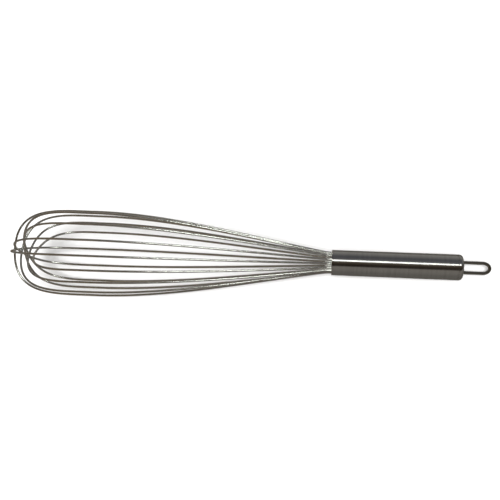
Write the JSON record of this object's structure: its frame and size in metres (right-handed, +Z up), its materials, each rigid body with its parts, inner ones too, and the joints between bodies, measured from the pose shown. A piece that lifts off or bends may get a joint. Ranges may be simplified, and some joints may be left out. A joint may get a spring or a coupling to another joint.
{
  "type": "balloon whisk",
  "caption": "Long French-style balloon whisk with nested sprung wire loops, a plain tube handle and a wire hanging loop.",
  "frame": {"origin": "on the table under the middle of the whisk's box, as it lies at rest", "axes": "+X along the whisk from the tip of the cage to the hanging loop, +Z up from the table"},
  "size_m": [0.4553, 0.0777, 0.081],
  "materials": {
    "wire_steel": "polished",
    "handle_steel": "satin",
    "seal_resin": "matte",
    "core_polymer": "matte"
  },
  "bodies": {
    "root": {"wire_loop_1": "wire_steel", "wire_loop_2": "wire_steel", "wire_loop_3": "wire_steel", "wire_loop_4": "wire_steel", "wire_loop_5": "wire_steel", "wire_loop_6": "wire_steel", "wire_loop_7": "wire_steel", "wire_loop_8": "wire_steel", "handle_tube": "handle_steel", "end_cap": "handle_steel", "hanging_loop": "wire_steel", "loop_anchor_plate": "handle_steel", "mouth_seal": "seal_resin", "core_plug": "core_polymer", "wire_end_stop": "handle_steel", "handle_filler": "core_polymer"}
  },
  "joints": []
}
